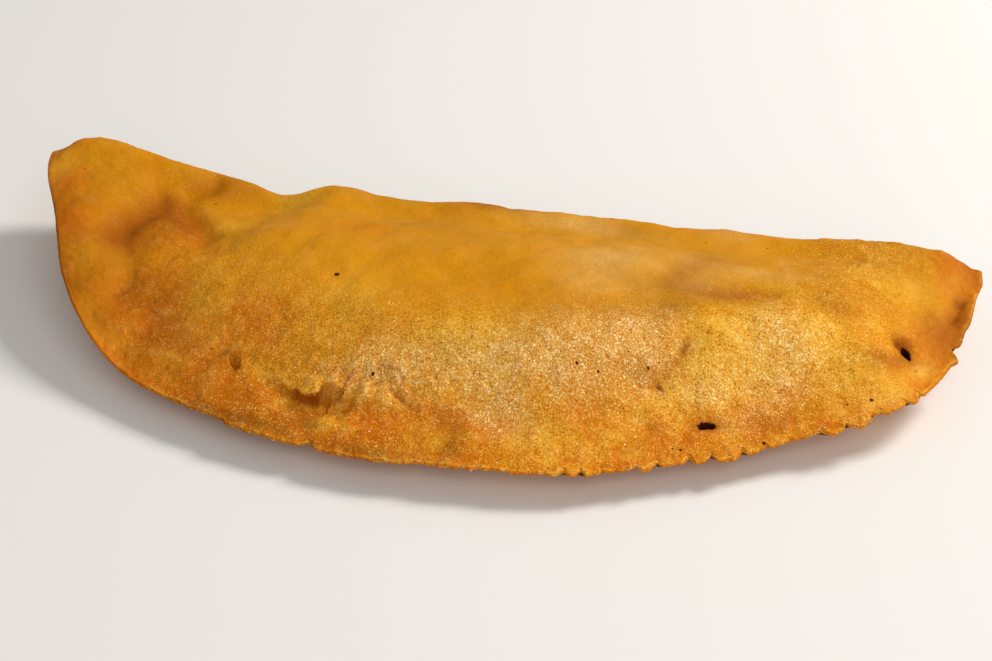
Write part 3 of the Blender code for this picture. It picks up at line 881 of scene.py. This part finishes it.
class Wire:  # wraps an output socket, so that shader maths reads as Python
    def __init__(self, tree, socket=None):
        self.tree, self.socket = tree, socket

    def node(self, kind, settings=None, sockets=None, out=0):
        made = self.tree.nodes.new(kind)
        for name, value in (settings or {}).items():
            setattr(made, name, value)
        for name, value in (sockets or {}).items():
            if isinstance(value, Wire):
                self.tree.links.new(value.socket, made.inputs[name])
            else:
                made.inputs[name].default_value = value
        return Wire(self.tree, made.outputs[out])

    def maths(self, operation, first, second, clamp=False):
        settings = {"operation": operation, "use_clamp": clamp}
        return self.node("ShaderNodeMath", settings, {0: first, 1: second})

    def __add__(self, other):
        return self.maths("ADD", self, other)

    def __radd__(self, other):
        return self.maths("ADD", other, self)

    def __sub__(self, other):
        return self.maths("SUBTRACT", self, other)

    def __rsub__(self, other):
        return self.maths("SUBTRACT", other, self)

    def __mul__(self, other):
        return self.maths("MULTIPLY", self, other)

    def __rmul__(self, other):
        return self.maths("MULTIPLY", other, self)

    def clamped(self):
        return self.maths("ADD", self, 0.0, clamp=True)

    def between(self, low, high):  # 0 at low, 1 at high, smooth
        settings = {"interpolation_type": "SMOOTHSTEP"}
        return self.node("ShaderNodeMapRange", settings, {"Value": self, "From Min": low, "From Max": high})


def blendColour(share, first, second):  # sockets 6 and 7, and output 2, are the Mix node's colours
    return share.node("ShaderNodeMix", {"data_type": "RGBA"}, {0: share, 6: first, 7: second}, out=2)


crustLook = {
    # noise: size in mm, detail, roughness, seed
    "broad": (12.0, 3.0, 0.55, 1.0),
    "mottle": (3.6, 3.0, 0.6, 2.0),
    "fleck": (0.9, 2.0, 0.6, 3.0),
    "sand": (0.34, 2.0, 0.65, 4.0),
    "pits": (1.8, 2.0, 0.5, 5.0),
    "patches": (6.0, 2.0, 0.5, 6.0),
    "clumps": (2.4, 3.0, 0.6, 7.0),
    # round dots: cell and radius in mm, share of the cells that hold one
    "paleDots": (0.45, 0.13, 0.4),
    # painted glints of light on the grains
    "paintedGlints": (1.3, 0.15, 0.3),
    "brownDots": (2.3, 0.17, 0.4),
    "specks": (3.6, 0.24, 0.2),
    "dotCore": 0.6,  # share of a dot's or seed's radius that is all its colour
    "roughness": 0.60,
    "bumpHeight": 0.001,
    "shaderValues": {
        "Subsurface Weight": 0.08,
        "Subsurface Radius": (1.0, 0.45, 0.12),
        "Subsurface Scale": 0.0015,
        "Specular IOR Level": 0.05,
        "Specular Tint": (1.0, 0.72, 0.35, 1.0),
    },
}


def crustMaterial(middle):
    material = bpy.data.materials.new("friedCrust")
    material.use_nodes = True
    tree = material.node_tree
    shader = tree.nodes["Principled BSDF"]
    wire = Wire(tree)
    place = wire.node("ShaderNodeTexCoord", out="Object")
    mm = wire.node("ShaderNodeVectorMath", {"operation": "SCALE"}, {0: place, "Scale": 1.0 / toMetres})

    def noiseAt(name):
        size, detail, roughness, seed = crustLook[name]
        sockets = {"Vector": mm, "W": seed, "Scale": 1.0 / size, "Detail": detail, "Roughness": roughness}
        return wire.node("ShaderNodeTexNoise", {"noise_dimensions": "4D"}, sockets)

    def finish(name):
        return wire.node("ShaderNodeAttribute", {"attribute_name": name}, out="Fac")

    def scattered(name):  # small round dots
        size, radius, kept = crustLook[name]
        settings, sockets = {"feature": "F1"}, {"Vector": mm, "Scale": 1.0 / size}
        distance = wire.node("ShaderNodeTexVoronoi", settings, sockets)
        lot = wire.node("ShaderNodeTexVoronoi", settings, sockets, out="Color")
        drawn = wire.node("ShaderNodeSeparateColor", None, {"Color": lot})
        core = crustLook["dotCore"] * radius / size
        return distance.between(radius / size, core) * drawn.between(1.0 - kept, 1.01 - kept)

    broad = noiseAt("broad")
    mottle = noiseAt("mottle")
    fleck = noiseAt("fleck")
    sand = noiseAt("sand")
    gritty = finish("gritty")
    clumps = noiseAt("clumps").between(0.40, 0.60)

    patches = noiseAt("patches").between(0.45, 0.62) * gritty
    blotches = ((mottle - 0.5) * 1.8 + (broad - 0.5) * 1.8) * (gritty * 0.5 + 0.5)
    toasted = (finish("toasted") + blotches).clamped()
    dusty = (finish("dusty") * 0.9 + (mottle - 0.5) * 0.6).clamped()
    golden = finish("golden") + (mottle - 0.46) * 1.3 * gritty
    golden = (golden + patches * finish("toasted") * 0.35).clamped()
    raised = finish("raised")
    colour = blendColour(toasted, frying["base"], frying["toasted"])
    colour = blendColour(golden * 0.8, colour, frying["golden"])
    colour = blendColour(finish("tanned"), colour, frying["tanned"])
    # pale dusting, partly a painted sheen
    colour = blendColour(dusty * (0.85 - gritty * 0.4), colour, frying["dusty"])
    grains = blendColour(toasted, frying["goldenGrain"], frying["toastedGrain"])
    grains = blendColour(dusty, grains, frying["paleGrain"])
    pale = sand.between(0.50, 0.70) * (0.44 + dusty * 0.58) * (0.45 + clumps * 1.05)
    # paler on the crumbs' tops: painted light
    pale = pale + raised.between(0.55, 1.0) * 0.25
    colour = blendColour((pale * gritty).clamped(), colour, grains)
    deep = sand.between(0.52, 0.34) * (1.0 - clumps * 0.75) + fleck.between(0.46, 0.34) * 0.25
    # darker in the crumbs' hollows: painted shade
    deep = deep + raised.between(0.42, 0.1) * 0.35
    colour = blendColour((deep * gritty).clamped(), colour, frying["deepGrain"])
    colour = blendColour(scattered("paleDots") * gritty * 0.7, colour, grains)
    # painted glints of light on the grains
    colour = blendColour(scattered("paintedGlints") * gritty * gritty, colour, frying["paintedGlint"])
    colour = blendColour(scattered("brownDots") * gritty, colour, frying["scorched"])
    colour = blendColour(scattered("specks"), colour, frying["speck"])
    flat = wire.node("ShaderNodeVectorMath", {"operation": "MULTIPLY"}, {0: mm, 1: (1.0, 1.0, 0.0)})
    for x, y, radius in frying["seeds"]:
        seed = (x - middle.x, y - middle.y, 0.0)
        away = wire.node("ShaderNodeVectorMath", {"operation": "DISTANCE"}, {0: flat, 1: seed}, out="Value")
        colour = blendColour(away.between(radius, crustLook["dotCore"] * radius), colour, frying["speck"])
    # brown marks, and painted shade in the cracks, vents, groove and the tear's floor
    colour = blendColour(finish("scorched"), colour, frying["scorched"])
    # painted shade, partly darker crust
    colour = blendColour(finish("dark"), colour, frying["dark"])
    tree.links.new(colour.socket, shader.inputs["Base Color"])

    rough = crustLook["roughness"] - (sand - 0.5) * 0.5
    tree.links.new(rough.socket, shader.inputs["Roughness"])
    height = fleck * 0.16 + sand * 0.26 * gritty + noiseAt("pits") * 0.15
    sockets = {"Height": height, "Strength": 1.0, "Distance": crustLook["bumpHeight"]}
    tree.links.new(wire.node("ShaderNodeBump", None, sockets).socket, shader.inputs["Normal"])
    for name, value in crustLook["shaderValues"].items():
        shader.inputs[name].default_value = value
    return material


def makeEmpanada():
    block = doughBlock()
    splitWhereNeeded(block)
    places = []
    for vertex in block.verts:
        a, b, c = vertex.co
        x, y = planPoint(a, b)
        places.append((x, y, c))
        vertex.co = doughPoint(a, b, c)
    low = Vector([min(vertex.co[axis] for vertex in block.verts) for axis in range(3)])
    high = Vector([max(vertex.co[axis] for vertex in block.verts) for axis in range(3)])
    middle = (low + high) / 2.0
    print("visual box", [round(side, 2) for side in high - low], "mm")
    bmesh.ops.translate(block, verts=block.verts, vec=(-middle.x, -middle.y, -low.z))
    bmesh.ops.scale(block, verts=block.verts, vec=(toMetres, toMetres, toMetres))
    bmesh.ops.recalc_face_normals(block, faces=block.faces)
    mesh = bpy.data.meshes.new("crust")
    block.to_mesh(mesh)
    block.free()
    paintCrust(mesh, places)
    mesh.shade_smooth()
    mesh.materials.append(crustMaterial(middle))
    mesh.calc_loop_triangles()
    print("empanada:", len(mesh.loop_triangles), "triangles")
    piece = bpy.data.objects.new("crust", mesh)
    bpy.context.scene.collection.objects.link(piece)
    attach(piece, "root")
    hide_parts("bean_empanada")
    return middle


middle = makeEmpanada()

studio = {
    # what the middle of the view looks at
    "aim": (toMetres * (4.296 - middle.x), toMetres * (-24.898 - middle.y), 0.0),
    "azimuth": 11.5,
    "elevation": 31.0,
    "distance": 0.404,
    "lens": 50.0,
    "sensor": 22.3,
    "floorSide": 6.0,
    "floorColour": (0.80, 0.79, 0.77, 1.0),
    "floorRoughness": 0.6,
    "lights": (  # azimuth like the camera's, elevation, distance, side, power, colour
        ("keyLight", 126.0, 42.0, 0.95, 0.3, 8.0, (1.0, 0.96, 0.90)),
        ("fillLight", 25.0, 30.0, 1.5, 1.2, 12.0, (1.0, 0.98, 0.96)),
    ),
    "worldStrength": 0.31,
    "worldColour": (1.0, 0.98, 0.96, 1.0),
}


def fromAim(azimuth, elevation, distance):
    turn, rise = math.radians(azimuth), math.radians(elevation)
    away = Vector((math.sin(turn) * math.cos(rise), -math.cos(turn) * math.cos(rise), math.sin(rise)))
    return Vector(studio["aim"]) + away * distance, (-away).to_track_quat("-Z", "Y")


def addObject(name, data, place=(0.0, 0.0, 0.0), facing=None):
    added = bpy.data.objects.new(name, data)
    bpy.context.scene.collection.objects.link(added)
    added.location = place
    if facing is not None:
        added.rotation_mode = "QUATERNION"
        added.rotation_quaternion = facing
    return added


def areaLight(name, azimuth, elevation, distance, side, power, colour):
    lamp = bpy.data.lights.new(name, "AREA")
    lamp.size = side
    lamp.energy = power
    lamp.color = colour
    place, facing = fromAim(azimuth, elevation, distance)
    addObject(name, lamp, place, facing)


def makeStudio():
    half = studio["floorSide"] / 2.0
    floorMesh = bpy.data.meshes.new("floor")
    corners = [(-half, -half, 0), (half, -half, 0), (half, half, 0), (-half, half, 0)]
    floorMesh.from_pydata(corners, [], [(0, 1, 2, 3)])
    paper = bpy.data.materials.new("paleFloor")
    paper.use_nodes = True
    surface = paper.node_tree.nodes["Principled BSDF"]
    surface.inputs["Base Color"].default_value = studio["floorColour"]
    surface.inputs["Roughness"].default_value = studio["floorRoughness"]
    floorMesh.materials.append(paper)
    addObject("floor", floorMesh)
    for light in studio["lights"]:
        areaLight(*light)
    world = bpy.data.worlds.new("softRoom")
    world.use_nodes = True
    background = world.node_tree.nodes["Background"]
    background.inputs["Strength"].default_value = studio["worldStrength"]
    background.inputs["Color"].default_value = studio["worldColour"]
    bpy.context.scene.world = world
    lens = bpy.data.cameras.new("camera")
    lens.lens = studio["lens"]
    lens.sensor_width = studio["sensor"]
    lens.clip_start = 0.01
    place, facing = fromAim(studio["azimuth"], studio["elevation"], studio["distance"])
    bpy.context.scene.camera = addObject("camera", lens, place, facing)
    bpy.context.scene.view_settings.view_transform = "Standard"


makeStudio()
print("studio made")
